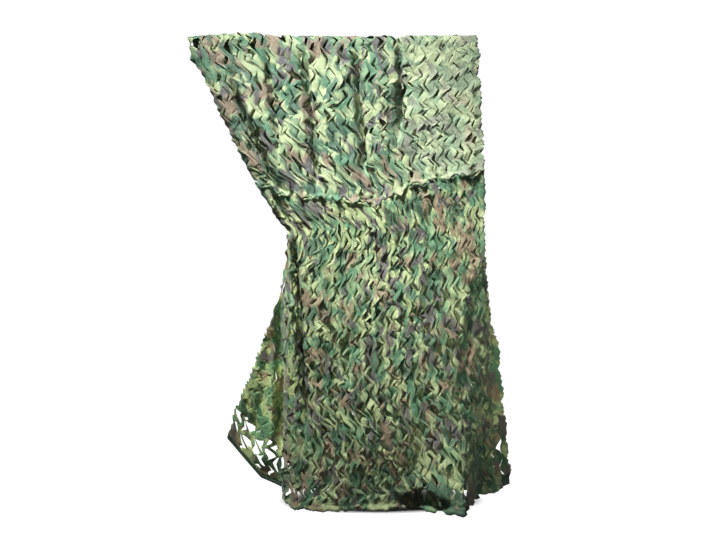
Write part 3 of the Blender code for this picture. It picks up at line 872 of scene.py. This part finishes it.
sweep_mesh = bmesh.new()
bmesh.ops.create_grid(sweep_mesh, x_segments=96, y_segments=24, size=1.0)
for vert in sweep_mesh.verts:
    turn = (vert.co.x + 1.0) * pi
    length = (vert.co.y + 1.0) / 2.0 * (SWEEP_FLOOR + BEND_LENGTH + SWEEP_HEIGHT)
    bent = np.clip((length - SWEEP_FLOOR) / SWEEP_BEND, 0.0, pi / 2.0)
    reach = min(length, SWEEP_FLOOR) + SWEEP_BEND * np.sin(bent)
    wall = max(length - SWEEP_FLOOR - BEND_LENGTH, 0.0)
    height = SWEEP_BEND * (1.0 - np.cos(bent)) + wall
    vert.co = (reach * np.cos(turn), reach * np.sin(turn), height + FLOOR_LEVEL)
bmesh.ops.remove_doubles(sweep_mesh, verts=sweep_mesh.verts, dist=0.0001)
for face in sweep_mesh.faces:
    face.smooth = True
sweep_data = bpy.data.meshes.new("studio_sweep")
sweep_mesh.to_mesh(sweep_data)
sweep_mesh.free()
sweep = bpy.data.objects.new("studio_sweep", sweep_data)
bpy.context.scene.collection.objects.link(sweep)
sweep.visible_diffuse = False
sweep.visible_glossy = False

sweep_paint = bpy.data.materials.new("studio_white")
sweep_paint.use_nodes = True
sweep_nodes = sweep_paint.node_tree.nodes
sweep_links = sweep_paint.node_tree.links
sweep_shader = sweep_nodes["Principled BSDF"]
sweep_shader.inputs["Base Color"].default_value = (0.12, 0.12, 0.12, 1.0)
sweep_shader.inputs["Roughness"].default_value = 0.9
sweep_shader.inputs["Emission Color"].default_value = (1.0, 1.0, 1.0, 1.0)
floor_place = sweep_nodes.new("ShaderNodeTexCoord")
under_net = sweep_nodes.new("ShaderNodeMapping")
under_net.vector_type = "TEXTURE"
under_net.inputs["Location"].default_value = SHADOW_PLACE
under_net.inputs["Scale"].default_value = SHADOW_SIZE
sweep_links.new(floor_place.outputs["Object"], under_net.inputs["Vector"])
shadow = sweep_nodes.new("ShaderNodeTexGradient")
shadow.gradient_type = "SPHERICAL"
sweep_links.new(under_net.outputs["Vector"], shadow.inputs["Vector"])
glow = sweep_nodes.new("ShaderNodeMapRange")
glow.inputs["From Max"].default_value = SHADOW_EDGE
glow.inputs["To Min"].default_value = 1.0
glow.inputs["To Max"].default_value = 0.0
sweep_links.new(shadow.outputs["Fac"], glow.inputs["Value"])
sweep_links.new(glow.outputs["Result"], sweep_shader.inputs["Emission Strength"])
sweep_data.materials.append(sweep_paint)

# Soft studio light: the key from above on the left, spread little so that it fades towards the
# foot, a weak fill from the front, a small light on the right side and a broad one behind.
WORLD_LIGHT = 0.07
Lamp = namedtuple("Lamp", "name place target width height spread power")
LAMPS = (
    Lamp("key_light", (-0.75, -1.65, 1.85), (0.20, 0.0, -0.84), 0.8, 0.6, 0.25 * pi, 19.8),
    Lamp("fill_light", (0.6, -4.0, -0.2), (0.1, 0.0, -1.0), 2.0, 2.0, pi, 7.0),
    Lamp("side_light", (2.3, -1.7, -0.3), (0.85, 0.1, -1.15), 0.4, 0.4, 0.18 * pi, 0.8),
    Lamp("back_light", (0.9, 3.6, 1.0), (0.1, 0.0, -0.9), 2.0, 2.0, pi, 120.0),
)

world = bpy.data.worlds.new("studio")
world.use_nodes = True
world.node_tree.nodes["Background"].inputs["Color"].default_value = (1.0, 1.0, 1.0, 1.0)
world.node_tree.nodes["Background"].inputs["Strength"].default_value = WORLD_LIGHT
bpy.context.scene.world = world
bpy.context.scene.view_settings.view_transform = "Standard"

for lamp in LAMPS:
    area = bpy.data.lights.new(lamp.name, "AREA")
    area.shape = "RECTANGLE"
    area.size = lamp.width
    area.size_y = lamp.height
    area.spread = lamp.spread
    area.energy = lamp.power
    light = bpy.data.objects.new(lamp.name, area)
    light.visible_camera = False
    light.location = lamp.place
    aim = Vector(lamp.target) - Vector(lamp.place)
    light.rotation_euler = aim.to_track_quat("-Z", "Y").to_euler()
    bpy.context.scene.collection.objects.link(light)

# The camera looks level, from in front of the net and at half its height.
CAMERA_PLACE = (0.097, -4.2, -0.905)
LENS_LENGTH = 53.90
SENSOR_WIDTH = 36.0

lens = bpy.data.cameras.new("camera")
lens.lens = LENS_LENGTH
lens.sensor_width = SENSOR_WIDTH
camera = bpy.data.objects.new("camera", lens)
camera.location = CAMERA_PLACE
camera.rotation_euler = (pi / 2.0, 0.0, 0.0)
bpy.context.scene.collection.objects.link(camera)
bpy.context.scene.camera = camera
